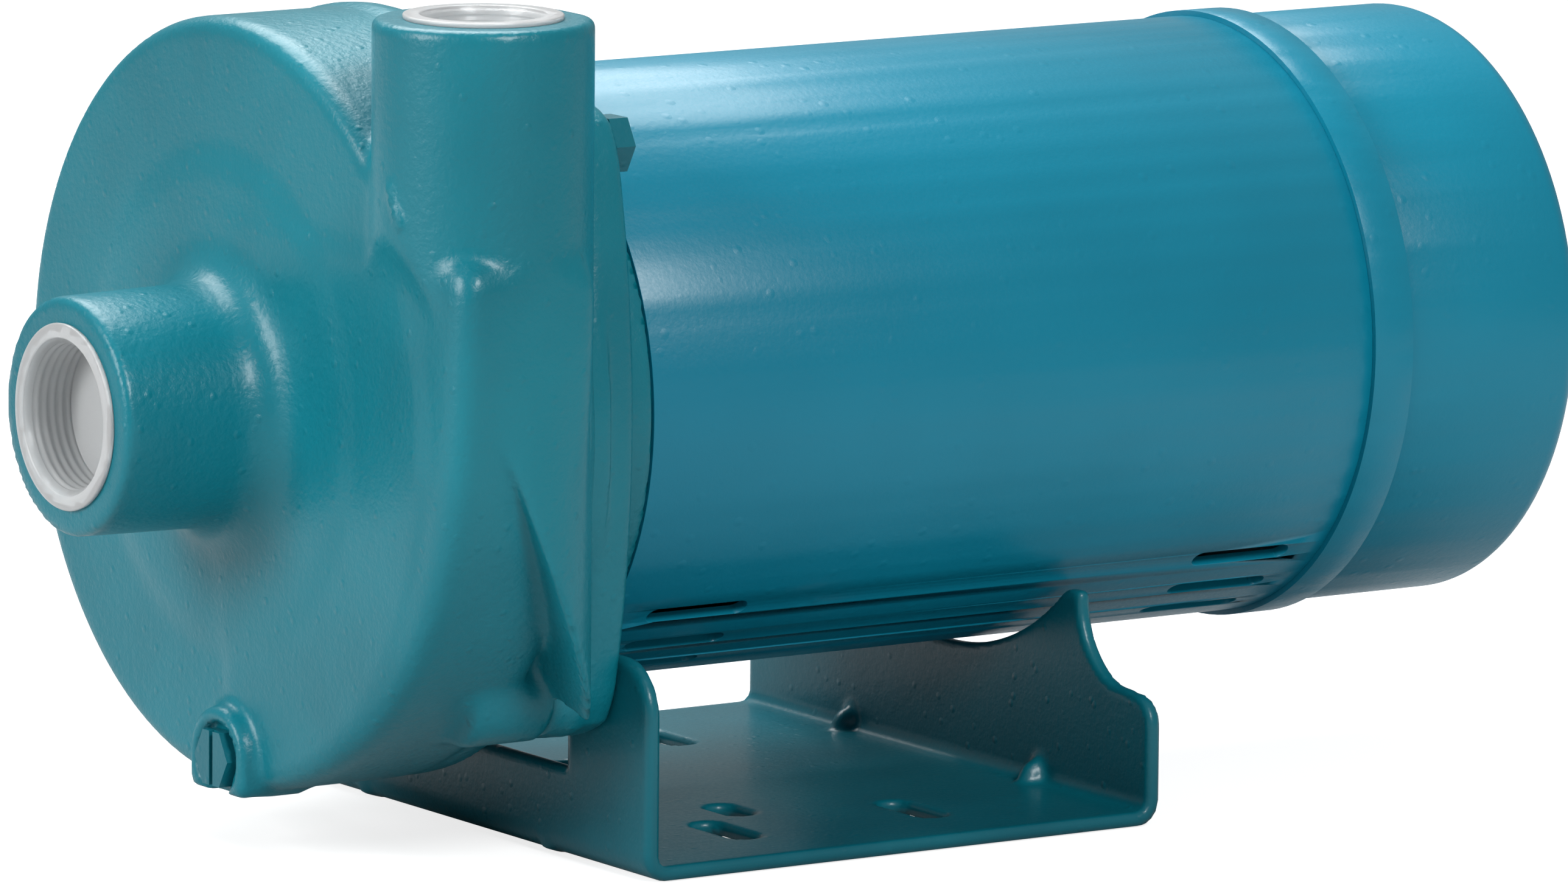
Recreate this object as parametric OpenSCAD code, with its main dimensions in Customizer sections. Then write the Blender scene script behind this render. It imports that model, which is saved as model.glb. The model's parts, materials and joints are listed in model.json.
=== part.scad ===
// Close-coupled centrifugal water pump: a cast volute casing bolted to the front
// bracket of an induction motor, which stands on a bent sheet-metal base.
// The shaft runs along X, the suction port faces -X, the discharge port +Z.
// The origin is the middle of the base's underside.

/* [Overall] */
// Height of the shaft axis above the base's underside
shaft_z = 120.5; // [118:0.5:150]

/* [Base] */
// Length of the base over its two flanges
base_len = 164; // [140:1:200]
// Width of the base sheet
base_w = 196.7; // [190:0.1:230]
// Thickness of the base sheet
base_t = 4; // [3:0.5:5]
// Inside radius of the bends
bend_r = 3; // [2:0.5:6]
// Distance between the two foot slots of one row
slot_pitch = 123.8; // [110:0.1:140]
// X position of the front row of slots
slot_front_x = -34; // [-40:1:-30]
// X position of the rear row of slots
slot_rear_x = 26; // [20:1:50]
// Length of the foot slots
slot_len = 26; // [18:1:30]
// Width of the foot slots
slot_w = 9.5; // [7:0.1:12]
// X position of the short inner slots
inner_slot_x = -17; // [-20:1:-14]
// Distance between the two short inner slots
inner_slot_pitch = 76; // [60:1:80]
// Length of the short inner slots
inner_slot_len = 17; // [12:1:20]
// Height of the rear flange's shoulders above the underside
shoulder_z = 34.8; // [28:0.2:38]
// Height of the front flange's ears above the underside
ear_z = 58.5; // [57:0.5:62]
// Height of the dip between the front flange's ears
dip_z = 25; // [20:0.5:28]

/* [Motor] */
// Outer radius of the motor shell
shell_r = 82.5; // [80:0.5:84]
// Thickness of the rolled shell
shell_t = 3; // [2:0.5:3.5]
// Length of the shell
shell_len = 232.3; // [215:0.1:270]
// Length of a vent slot along the shell
vent_len = 31.5; // [25:0.5:34]
// Width of a vent slot
vent_w = 5.6; // [4:0.1:7]
// Angle from one vent slot to the next
vent_step = 10.5; // [9:0.5:12]
// Distance from the shell's ends to the middle of its vent rows
vent_inset = 27.6; // [25:0.2:32]
// Length of the stator and rotor cores
core_len = 90; // [70:1:95]
// Radius of the stator's bore
stator_bore_r = 45.1; // [42:0.1:46]
// Air gap between the stator and the rotor
air_gap = 0.4; // [0.3:0.05:0.6]
// Radius of the rear bell's band
band_r = 84; // [83.5:0.5:86]
// Length of the rear bell's band
band_len = 12.6; // [11:0.2:16]
// Outer radius of the rear cover
cover_r = 81.8; // [80.5:0.1:83]
// Length of the rear cover
cover_len = 58.8; // [56:0.2:75]
// Wall of the rear cover
cover_t = 1.5; // [1:0.1:2]
// Radius of the rear cover's end edge
cover_edge = 5.5; // [3:0.5:8]

/* [Bearings and shaft] */
// Outer radius of the ball bearings
bearing_r = 20; // [18:0.5:22]
// Bore radius of the ball bearings
bearing_bore_r = 8.5; // [8:0.5:9]
// Width of the ball bearings
bearing_w = 12; // [11:0.5:13]
// Radius of a bearing ball
ball_r = 3.375; // [3:0.005:3.6]
// Number of balls in a bearing
ball_count = 8; // [7:1:8]
// Shaft radius under the seal
seal_shaft_r = 7.94; // [7:0.01:8]
// Radius of the threaded stub that holds the impeller
stub_r = 5.5; // [4.5:0.1:6]
// Shaft radius inside the rotor core
core_shaft_r = 11; // [10:0.5:12]
// Radius of the shaft's tail
tail_r = 6; // [5:0.5:7]
// Running clearance around the shaft and its balls
run_gap = 0.075; // [0.05:0.005:0.1]

/* [Front bracket] */
// Thickness of the bracket's plate
plate_t = 14; // [11:0.5:18]
// Half the width of the plate at the middle of its sides
plate_half = 92; // [90:0.5:94]
// Radius that the plate's slightly bulged sides follow
side_arc_r = 330; // [280:10:400]
// Reach of the plate's corners from the shaft axis
plate_reach = 113.7; // [112:0.1:116]
// Length of the round rim between the plate and the shell
rim_len = 11.3; // [8:0.1:14]
// Gap between the casing and the plate outside the register
register_gap = 6; // [5:0.5:10]
// Radius of the register that centres the casing
register_r = 88; // [87:0.5:89]
// Depth of the register in the casing
register_depth = 7; // [6:0.5:8]

/* [Casing] */
// Radius of the casing's round front
casing_r = 102.3; // [101:0.1:105]
// Length of the casing from its back to its front face
casing_len = 51.1; // [48:0.1:60]
// How far the scroll swells beyond the round front
scroll_swell = 13.9; // [10:0.1:15]
// Wall of the casing
casing_wall = 6.5; // [5:0.5:7]
// Length of the casing's back flange
flange_len = 8; // [6:0.5:10]
// Radius of the casing's front edge
face_edge = 5; // [3:0.5:6]
// Radius of the bolt circle
bolt_circle_r = 103; // [102:0.1:104]
// Radius of the bosses around the casing's tapped holes
lug_r = 11; // [9:0.5:12]
// Length of those bosses
lug_len = 24; // [20:1:28]

/* [Ports] */
// Outer radius of the suction boss
suction_boss_r = 31.65; // [29:0.05:34]
// Length of the suction boss
suction_len = 47.9; // [40:0.1:58]
// Radius of the suction thread at its mouth, 1-1/4 NPT
suction_thread_r = 20.99; // [20.99:0.01:21.5]
// Depth of the pipe threads
thread_len = 25; // [20:1:28]
// Outer radius of the discharge pipe
pipe_r = 28.9; // [26:0.1:30]
// Distance of the discharge pipe from the shaft axis, towards -Y
pipe_y = 90; // [88:0.5:92]
// Height of the discharge mouth above the shaft axis
pipe_top = 111; // [108:1:135]
// Distance of the pipe's axis in front of the casing's back
pipe_back = 27; // [25:0.5:29]
// Radius of the discharge thread at its mouth, 1 NPT
discharge_thread_r = 16.61; // [16.61:0.01:17]
// Radius of the flow passage below the discharge thread
discharge_r = 13.4; // [12:0.1:14]
// Sideways place of the drain plug, towards -Y
drain_y = 6; // [4:0.5:8]
// Distance of the drain plug below the shaft axis
drain_z = 94; // [92:0.5:94.5]
// Radius of the drain plug's head recess
drain_recess_r = 9.7; // [9:0.1:10.5]

/* [Impeller and seal] */
// Outer radius of the impeller
impeller_r = 70; // [62:0.5:78]
// Width of the impeller's passages
vane_w = 12; // [9:0.5:13]
// Number of vanes
vane_count = 6; // [5:1:7]
// Thickness of a vane
vane_t = 3; // [2.5:0.1:4]
// Angle that a vane wraps around the shaft
vane_wrap = 110; // [80:5:130]
// Outer radius of the impeller's eye ring
eye_r = 27; // [25:0.5:29]
// Running gap around the eye ring
eye_gap = 0.3; // [0.2:0.05:0.5]

/* [Fasteners] */
// Thread radius of the casing bolts, 3/8 in
bolt_r = 4.76; // [4:0.01:5]
// Clearance of a bolt in its drilled hole
bolt_gap = 0.4; // [0.3:0.05:0.6]
// Distance across the flats of the bolt heads
bolt_flats = 14.3; // [12:0.1:15]
// Height of the bolt heads
bolt_head = 5.9; // [5:0.1:7]
// Thread radius of the motor's through bolts
through_r = 2.4; // [2:0.1:3]
// Distance of the through bolts from the shaft axis
through_circle_r = 76; // [75.5:0.1:76.3]

/* [Port plugs] */
// Flange radius of the suction plug
suction_cap_r = 24.85; // [23.5:0.05:26]
// Flange radius of the discharge plug
discharge_cap_r = 21; // [19:0.05:22]
// Thickness of the plugs' flanges
cap_flange = 1.3; // [1:0.1:2]
// Wall of the plugs
cap_wall = 1.1; // [0.9:0.1:1.5]
// Depth of the suction plug's cup
suction_cup = 14; // [10:0.5:18]
// Depth of the discharge plug's cup
discharge_cup = 12; // [9:0.5:16]

/* [Motor fittings] */
// Outer radius of the cooling fan
fan_r = 60; // [55:1:66]
// Number of fan blades
fan_blades = 10; // [8:1:12]
// Radius of the start capacitor
capacitor_r = 18.2; // [16:0.1:19]
// Length of the start capacitor
capacitor_len = 78; // [66:1:80]
// Thread radius of the conduit entry, 1/2 NPT
conduit_r = 10.6; // [10:0.1:10.6]
// Length of the conduit entry's bushing
conduit_len = 12; // [10:0.5:14]

/* [Hidden] */

enamel = [0.02, 0.36, 0.43];
steel = [0.62, 0.63, 0.65];
rubber = [0.08, 0.08, 0.09];

$fn = 96;
// small overshoot that lets a cut pass clean through a face
cut = 1;
// clearance between pieces that are pressed or screwed together
seat_gap = 0.04;
// clearance between loose pieces and their seats
loose_gap = 0.3;

// stations along the shaft
x_plate_back = -base_len / 2;
x_plate = x_plate_back - plate_t;
x_casing_back = x_plate - register_gap;
x_face = x_casing_back - casing_len;
x_suction = x_face - suction_len;
x_shell = x_plate_back + rim_len;
x_band = x_shell + shell_len;
x_cover = x_band + band_len;
x_end = x_cover + cover_len;

// the water chamber and the impeller in it
x_chamber = x_face + casing_wall + 0.6;
x_wet_wall = x_casing_back - register_depth;
shroud_t = 3;
x_impeller_back = x_wet_wall - 4;
x_vanes = x_impeller_back - shroud_t - vane_w;
x_front_shroud = x_vanes - 2.5;
x_eye = x_chamber + 4;
hub_r = 12;

// the shaft seal
x_hub_back = x_impeller_back + 1;
seal_cavity_r = 22;
x_seal_cavity = x_wet_wall + 12;
seat_r = 15.9;
seat_len = 8;
x_seat = x_seal_cavity - 1;
carbon_len = 5;
x_carbon = x_seat - carbon_len;
collar_t = 1.2;
spring_turns = 4;
spring_wire_r = 0.8;
spring_r = 10.4;

// bearings, one behind the plate and one in the rear bell
front_hub_r = bearing_r + 7;
x_front_bearing = x_plate_back + 7;
x_rear_bearing = x_band + 0.4;
ball_pitch_r = (bearing_r + bearing_bore_r) / 2 + 0.125;
race_land = 3.1;

// the rotor and the stator
x_core = (x_shell + x_band) / 2 - core_len / 2 - 5;
rotor_r = stator_bore_r - air_gap;
stator_r = shell_r - shell_t - 0.1;
ring_len = 8;
coil_len = 29;
x_fan = x_core + core_len + coil_len + 5;
fan_len = 14;

// fittings inside the rear cover
x_tail_end = x_cover + 25;
x_governor = x_cover + 6;
x_sleeve = x_governor + 9;
x_switch = x_sleeve + 7;
x_board = x_cover + 16;
pillar_y = 46;
pillar_z = 40;
pillar_r = 5;
screw_r = 2.5;
post_z = 24;
post_y = 28;
x_capacitor = x_cover + 31;
capacitor_z = -47;
conduit_x = x_cover + 26;

// edges and details
lug_angles = [45, 135, 225, 315];
bend_out = bend_r + base_t;
saddle_r = shell_r + 1.8;
horn_cut_r = 22.7;
horn_cut_y = 87;
horn_cut_z = -63;
horn_z = -61.6;
drain_pad_r = 13.7;
drain_pad_t = 6;
boss_root = 9;

// ---------- helpers ----------

// children drawn with X right, Y up are stood across the shaft at x, Y and Z following
module at_x(x) {
  translate([x, 0, shaft_z]) rotate([90, 0, 90]) children();
}

// a plain ring around the shaft
module ring(x0, x1, outer, inner) {
  at_x(x0) difference() {
    cylinder(h = x1 - x0, r = outer);
    translate([0, 0, -cut]) cylinder(h = x1 - x0 + 2 * cut, r = inner);
  }
}

// a solid disc around the shaft
module disc(x0, x1, r) {
  at_x(x0) cylinder(h = x1 - x0, r = r);
}

// a profile of [radius, x] points turned around the shaft
module turned(points) {
  at_x(0) rotate_extrude() polygon(points);
}

// a straight cylinder along the shaft, away from the axis
module peg(x0, x1, y, z, r, sides = 48) {
  at_x(x0) translate([y, z, 0]) cylinder(h = x1 - x0, r = r, $fn = sides);
}

// children copied to both sides of the XZ plane
module both_sides() {
  children();
  mirror([0, 1, 0]) children();
}

// a vertical hole that is long along Y
module slot(x, y, length, width) {
  straight = length - width;
  for (s = [-1, 1]) {
    translate([x, y + s * straight / 2, -cut]) cylinder(h = base_t + 2 * cut, d = width);
  }
  translate([x - width / 2, y - straight / 2, -cut]) cube([width, straight, base_t + 2 * cut]);
}

// ---------- casing ----------

// scroll radius at an angle below the discharge side
function scroll_r(angle) = casing_r + scroll_swell * pow((90 - angle) / 90, 1.5);

// scroll outline on the discharge side, moved in by inset
function scroll_wing(inset) = concat(
  [[0, 0], [0, -(casing_r - inset)]],
  [for (a = [85 : -5 : 0]) (scroll_r(a) - inset) * [-cos(a), -sin(a)]],
  [[-(pipe_y + pipe_r - inset), 22], [-(pipe_y + pipe_r - inset), 48], [-pipe_y, 62]]
);

module casing_body() {
  at_x(x_face) rotate_extrude() union() {
    square([casing_r - face_edge, casing_len]);
    translate([0, face_edge]) square([casing_r, casing_len - face_edge]);
    translate([casing_r - face_edge, face_edge]) circle(r = face_edge);
  }
  at_x(x_face + 2) linear_extrude(casing_len - flange_len - 2) polygon(scroll_wing(0));
  at_x(x_face) linear_extrude(3) polygon(scroll_wing(3));
}

module suction_boss() {
  disc(x_suction, x_face + cut, suction_boss_r);
  turned([
    [0, x_face + cut], [suction_boss_r + boss_root, x_face + cut],
    [suction_boss_r + boss_root, x_face], [suction_boss_r + 3, x_face - 3],
    [suction_boss_r, x_face - boss_root], [0, x_face - boss_root]
  ]);
}

module discharge_pipe() {
  translate([x_casing_back - pipe_back, -pipe_y, shaft_z]) {
    cylinder(h = pipe_top, r = pipe_r);
    sphere(r = pipe_r);
  }
}

module drain_pad() {
  peg(x_face - drain_pad_t, x_face + 6, -drain_y, -drain_z, drain_pad_r);
  translate([x_face - drain_pad_t, -drain_y - drain_pad_r, shaft_z - casing_r - 1.5])
    cube([drain_pad_t + 8, 2 * drain_pad_r, casing_r + 1.5 - drain_z]);
}

module casing_lugs() {
  for (a = lug_angles) {
    y = bolt_circle_r * cos(a);
    z = bolt_circle_r * sin(a);
    peg(x_casing_back - lug_len, x_casing_back, y, z, lug_r);
  }
}

module water_passages() {
  inner_r = casing_r - casing_wall;
  disc(x_chamber, x_wet_wall, inner_r);
  at_x(x_chamber) linear_extrude(x_wet_wall - x_chamber) polygon(scroll_wing(casing_wall));
  disc(x_wet_wall - cut, x_casing_back + cut, register_r);
  disc(x_suction - cut, x_suction + thread_len, suction_thread_r);
  disc(x_suction + thread_len - cut, x_face - 4, 17.6);
  turned([
    [0, x_face - 4 - 0.01], [17.6, x_face - 4 - 0.01], [eye_r - 3.5, x_face + 3],
    [eye_r - 3.5, x_eye], [0, x_eye]
  ]);
  translate([x_casing_back - pipe_back, -pipe_y, shaft_z]) {
    cylinder(h = pipe_top, r = discharge_r);
    translate([0, 0, pipe_top - thread_len]) cylinder(h = thread_len + cut, r = discharge_thread_r);
  }
}

module volute_casing() {
  color(enamel) difference() {
    union() {
      difference() {
        union() {
          casing_body();
          suction_boss();
          discharge_pipe();
          drain_pad();
          casing_lugs();
        }
        water_passages();
      }
      ring(x_chamber - cut, x_front_shroud - 3, eye_r + 6, eye_r + eye_gap);
    }
    disc(x_casing_back, x_casing_back + pipe_r, 2 * casing_r);
    disc(x_chamber - 2, x_front_shroud, eye_r + eye_gap);
    for (a = lug_angles) {
      peg(x_casing_back - 20, x_casing_back + cut, bolt_circle_r * cos(a),
        bolt_circle_r * sin(a), bolt_r + seat_gap);
    }
    peg(x_face - drain_pad_t - cut, x_face - drain_pad_t + 3.2, -drain_y, -drain_z, drain_recess_r);
    peg(x_face - drain_pad_t, x_chamber - 1.5, -drain_y, -drain_z, 6.6 + seat_gap);
    peg(x_face, x_chamber + cut, -drain_y, -drain_z + 3, 2.5);
  }
}

module casing_o_ring() {
  color(rubber) at_x(x_wet_wall + register_depth / 2) rotate_extrude()
    translate([register_r - 1.75, 0]) circle(r = 1.65, $fn = 32);
}

// slotted hex plug, sunk in its recess
module drain_plug() {
  x_head = x_face - drain_pad_t - 1.2;
  color(enamel) difference() {
    union() {
      peg(x_head, x_head + 4.3, -drain_y, -drain_z, 8.4, 6);
      peg(x_head + 4, x_chamber - 2, -drain_y, -drain_z, 6.6);
    }
    at_x(x_head - cut) translate([-drain_y - 0.9, -drain_z - 9, 0]) cube([1.8, 18, cut + 1.6]);
  }
}

// ---------- port plugs ----------

// threaded plug: a flange on a thin-walled cup, mouth up, the flange's top at cap_flange
module port_plug(flange_r, cup_r, depth) {
  rotate_extrude() polygon([
    [0, -depth], [cup_r - 0.8, -depth], [cup_r, -depth + 2], [cup_r, 0], [flange_r, 0],
    [flange_r, cap_flange], [cup_r - cap_wall + 0.5, cap_flange], [cup_r - cap_wall, 0.6],
    [cup_r - cap_wall, -depth + 2], [cup_r - cap_wall - 0.8, -depth + cap_wall],
    [0, -depth + cap_wall]
  ]);
}

module suction_cap() {
  color([0.92, 0.93, 0.93]) translate([x_suction, 0, shaft_z]) rotate([0, -90, 0])
    port_plug(suction_cap_r, suction_thread_r - 0.05, suction_cup);
}

module discharge_cap() {
  color([0.92, 0.93, 0.93])
    translate([x_casing_back - pipe_back, -pipe_y, shaft_z + pipe_top])
    port_plug(discharge_cap_r, discharge_thread_r - 0.05, discharge_cup);
}

// ---------- impeller and seal ----------

function vane_point(r, shift) =
  let (r0 = eye_r - 1, a = vane_wrap * ln(r / r0) / ln(impeller_r / r0) + shift / r * 57.3)
  [r * cos(a), r * sin(a)];

// outline of one backward-curved vane
function vane_outline() =
  let (r0 = eye_r - 1, r1 = impeller_r - 0.5, steps = 8)
  concat(
    [for (i = [0 : steps]) vane_point(r0 + (r1 - r0) * i / steps, -vane_t / 2)],
    [for (i = [steps : -1 : 0]) vane_point(r0 + (r1 - r0) * i / steps, vane_t / 2)]
  );

module impeller() {
  color("darkgoldenrod") difference() {
    union() {
      disc(x_impeller_back - shroud_t, x_impeller_back, impeller_r);
      disc(x_vanes, x_hub_back, hub_r);
      for (i = [0 : vane_count - 1]) {
        at_x(x_vanes - 0.5) rotate([0, 0, i * 360 / vane_count])
          linear_extrude(vane_w + 1) polygon(vane_outline());
      }
      ring(x_front_shroud, x_vanes, impeller_r, eye_r - 3.5);
      ring(x_chamber + 1, x_vanes, eye_r, eye_r - 3.5);
    }
    disc(x_vanes - 2 * cut, x_hub_back + cut, stub_r + seat_gap);
  }
}

module seal_seat() {
  color("ivory") ring(x_seat, x_seal_cavity + seat_len - 1, 13.4, 9.4);
}

module seal_seat_gasket() {
  color(rubber) turned([
    [13.4 + seat_gap, x_seal_cavity], [seat_r, x_seal_cavity],
    [seat_r, x_seal_cavity + seat_len - seat_gap], [10.5, x_seal_cavity + seat_len - seat_gap],
    [10.5, x_seal_cavity + seat_len - 1 + seat_gap],
    [13.4 + seat_gap, x_seal_cavity + seat_len - 1 + seat_gap]
  ]);
}

module seal_carbon() {
  color([0.15, 0.15, 0.16]) ring(x_carbon, x_seat - 0.02, 12, seal_shaft_r + 0.5);
}

module seal_bellows() {
  x_collar = x_carbon - collar_t;
  color(rubber) turned([
    [seal_shaft_r + seat_gap, x_hub_back + 0.1], [9.3, x_hub_back + 0.1], [9.3, x_collar],
    [12.6, x_collar], [12.6, x_carbon - 0.02], [seal_shaft_r + seat_gap, x_carbon - 0.02]
  ]);
}

// helical spring between the impeller's hub and the bellows' collar
module seal_spring() {
  sides = 8;
  per_turn = 16;
  rings = spring_turns * per_turn;
  length = x_carbon - collar_t - x_hub_back - 2 * spring_wire_r - 0.2;
  centre = [for (i = [0 : rings])
    let (a = i * 360 / per_turn) [spring_r * cos(a), spring_r * sin(a), length * i / rings]];
  points = [for (i = [0 : rings]) for (k = [0 : sides - 1])
    let (a = i * 360 / per_turn, b = k * 360 / sides, w = spring_wire_r * cos(b))
    centre[i] + [w * cos(a), w * sin(a), spring_wire_r * sin(b)]];
  wall = [for (i = [0 : rings - 1]) for (k = [0 : sides - 1])
    let (n = (k + 1) % sides)
    [i * sides + k, i * sides + n, (i + 1) * sides + n, (i + 1) * sides + k]];
  ends = [[for (k = [sides - 1 : -1 : 0]) k], [for (k = [0 : sides - 1]) rings * sides + k]];
  color(steel) at_x(x_hub_back + spring_wire_r + 0.1)
    polyhedron(points = points, faces = concat(wall, ends), convexity = 6);
}

// ---------- bracket ----------

// outline of the bracket's plate, with bulged sides and rounded corners
module plate_blank(x0, x1) {
  side = side_arc_r - plate_half;
  intersection() {
    disc(x0, x1, plate_reach);
    peg(x0, x1, side, 0, side_arc_r, 180);
    peg(x0, x1, -side, 0, side_arc_r, 180);
    peg(x0, x1, 0, side, side_arc_r, 180);
    peg(x0, x1, 0, -side, side_arc_r, 180);
  }
}

module front_bracket() {
  color(enamel) difference() {
    union() {
      plate_blank(x_plate, x_plate_back);
      disc(x_casing_back, x_plate + cut, register_r + 8);
      disc(x_wet_wall, x_casing_back + cut, register_r - seat_gap);
      for (a = lug_angles) {
        peg(x_casing_back, x_plate + cut, bolt_circle_r * cos(a), bolt_circle_r * sin(a), lug_r - 1);
      }
      ring(x_plate_back - cut, x_shell, shell_r, shell_r - shell_t - 5);
      ring(x_shell - cut, x_shell + 6, shell_r - shell_t - seat_gap, shell_r - shell_t - 5);
      disc(x_plate_back - cut, x_front_bearing + bearing_w + 1, front_hub_r);
      for (a = [0 : 60 : 300]) {
        at_x(x_plate_back - cut) rotate([0, 0, a]) translate([front_hub_r - 2, -2.5, 0])
          cube([shell_r - shell_t - front_hub_r, 5, rim_len]);
      }
    }
    disc(x_wet_wall - cut, x_seal_cavity, seal_cavity_r);
    disc(x_seal_cavity - cut, x_seal_cavity + seat_len, seat_r + seat_gap);
    disc(x_wet_wall, x_front_bearing, 10);
    disc(x_seal_cavity + seat_len + 3, x_front_bearing - 3, 17);
    disc(x_front_bearing, x_front_bearing + bearing_w + 2, bearing_r + seat_gap);
    at_x(x_wet_wall + register_depth / 2) rotate_extrude()
      translate([register_r - 3.45, -1.75]) square([5, 3.5]);
    translate([x_seal_cavity + seat_len + 3.2, -4, shaft_z - plate_half - 5]) cube([2.6, 8, plate_half]);
    for (a = lug_angles) {
      peg(x_casing_back - cut, x_plate_back + cut, bolt_circle_r * cos(a),
        bolt_circle_r * sin(a), bolt_r + bolt_gap);
    }
    for (a = [0 : 90 : 270]) {
      peg(x_plate_back - 8, x_shell + 7, through_circle_r * cos(a),
        through_circle_r * sin(a), through_r + seat_gap, 32);
    }
  }
}

// the two lower bolts also clamp the base's front flange
module casing_bolts() {
  color(enamel) for (a = lug_angles) {
    y = bolt_circle_r * cos(a);
    z = bolt_circle_r * sin(a);
    x_head = x_plate_back + (z < 0 ? base_t : 0);
    peg(x_casing_back - 18, x_head + 1, y, z, bolt_r);
    peg(x_head, x_head + bolt_head, y, z, bolt_flats / 2 / cos(30), 6);
  }
}

module water_slinger() {
  x0 = x_seal_cavity + seat_len + 5;
  color(rubber) turned([
    [seal_shaft_r + seat_gap, x0], [9.6, x0], [15, x0 + 1], [15, x0 + 2.4], [10.5, x0 + 2.4],
    [10.5, x0 + 5], [seal_shaft_r + seat_gap, x0 + 5]
  ]);
}

// ---------- shaft, rotor and bearings ----------

module shaft() {
  x_rear_end = x_rear_bearing + bearing_w;
  color(steel) turned([
    [0, x_vanes + 1], [stub_r, x_vanes + 1], [stub_r, x_hub_back],
    [seal_shaft_r, x_hub_back], [seal_shaft_r, x_front_bearing - 1],
    [bearing_bore_r - seat_gap, x_front_bearing - 1],
    [bearing_bore_r - seat_gap, x_front_bearing + bearing_w],
    [core_shaft_r - seat_gap, x_front_bearing + bearing_w],
    [core_shaft_r - seat_gap, x_rear_bearing], [bearing_bore_r - seat_gap, x_rear_bearing],
    [bearing_bore_r - seat_gap, x_rear_end + 1], [tail_r, x_rear_end + 1],
    [tail_r, x_tail_end], [0, x_tail_end]
  ]);
}

module race(x, outer, inner) {
  at_x(x) rotate_extrude() difference() {
    translate([inner, 0]) square([outer - inner, bearing_w]);
    translate([ball_pitch_r, bearing_w / 2]) circle(r = ball_r + run_gap, $fn = 48);
  }
}

module bearing_outer(x) {
  race(x, bearing_r, ball_pitch_r + race_land);
}

module bearing_inner(x) {
  race(x, ball_pitch_r - race_land, bearing_bore_r);
}

module ball_ring(x, r) {
  for (i = [0 : ball_count - 1]) {
    at_x(x + bearing_w / 2) rotate([0, 0, i * 360 / ball_count])
      translate([ball_pitch_r, 0, 0]) sphere(r = r, $fn = 48);
  }
}

module bearing_cage(x) {
  difference() {
    ring(x + 1.4, x + bearing_w - 1.4, ball_pitch_r + 1.2, ball_pitch_r - 1.2);
    for (i = [0 : ball_count - 1]) {
      at_x(x + bearing_w / 2) rotate([0, 0, i * 360 / ball_count]) translate([ball_pitch_r - 4, 0, 0])
        rotate([0, 90, 0]) cylinder(h = 8, r = ball_r + run_gap, $fn = 48);
    }
  }
}

module front_bearing_outer() {
  color(steel) bearing_outer(x_front_bearing);
}

module front_bearing_inner() {
  color(steel) bearing_inner(x_front_bearing);
}

module front_bearing_balls() {
  color("silver") ball_ring(x_front_bearing, ball_r);
}

module front_bearing_cage() {
  color("peru") bearing_cage(x_front_bearing);
}

module rear_bearing_outer() {
  color(steel) bearing_outer(x_rear_bearing);
}

module rear_bearing_inner() {
  color(steel) bearing_inner(x_rear_bearing);
}

module rear_bearing_balls() {
  color("silver") ball_ring(x_rear_bearing, ball_r);
}

module rear_bearing_cage() {
  color("peru") bearing_cage(x_rear_bearing);
}

module wave_washer() {
  x0 = x_rear_bearing + bearing_w;
  color(steel) ring(x0 + seat_gap, x0 + 0.9, bearing_r - 0.2, bearing_r - 4);
}

module rotor_core() {
  color([0.45, 0.46, 0.48]) ring(x_core, x_core + core_len, rotor_r, core_shaft_r);
}

// cast end rings with short fins
module rotor_end_rings() {
  color("silver") for (x0 = [x_core - ring_len, x_core + core_len]) {
    ring(x0, x0 + ring_len, rotor_r - 0.7, rotor_r - 15);
    fin = x0 < x_core ? x0 - 8 : x0 + ring_len - 0.5;
    for (a = [0 : 40 : 320]) {
      at_x(fin) rotate([0, 0, a]) translate([rotor_r - 12, -1.2, 0]) cube([9, 2.4, 8.5]);
    }
  }
}

module cooling_fan() {
  color([0.12, 0.12, 0.13]) difference() {
    union() {
      disc(x_fan, x_fan + 2, fan_r);
      disc(x_fan, x_fan + fan_len, core_shaft_r + 5);
      for (i = [0 : fan_blades - 1]) {
        at_x(x_fan) rotate([0, 0, i * 360 / fan_blades])
          translate([core_shaft_r + 4, -1, 0]) cube([fan_r - core_shaft_r - 6, 2, fan_len]);
      }
    }
    disc(x_fan - cut, x_fan + fan_len + cut, core_shaft_r);
  }
}

// ---------- stator and shell ----------

module stator_core() {
  color([0.45, 0.46, 0.48]) difference() {
    ring(x_core, x_core + core_len, stator_r, stator_bore_r);
    for (i = [0 : 23]) {
      at_x(x_core - cut) rotate([0, 0, i * 15 + 7.5]) {
        translate([stator_bore_r - 2, -1.2, 0]) cube([5, 2.4, core_len + 2 * cut]);
        translate([stator_bore_r + 2, -2.5, 0]) cube([16, 5, core_len + 2 * cut]);
      }
    }
    for (a = [0 : 90 : 270]) {
      peg(x_core - cut, x_core + core_len + cut, through_circle_r * cos(a),
        through_circle_r * sin(a), through_r + 0.6, 32);
    }
  }
}

// coil ends in front of and behind the core, joined by the bars in the slots
module stator_windings() {
  coil_r = (stator_bore_r + 22 + stator_bore_r + 5) / 2;
  color([0.6, 0.28, 0.1]) {
    for (x0 = [x_core - coil_len, x_core + core_len + 0.2]) {
      ring(x0, x0 + coil_len - 0.2, coil_r + 9, coil_r - 8);
    }
    for (i = [0 : 23]) {
      at_x(x_core - 1) rotate([0, 0, i * 15 + 7.5])
        translate([stator_bore_r + 3, -2.2, 0]) cube([14.5, 4.4, core_len + 2]);
    }
  }
}

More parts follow.
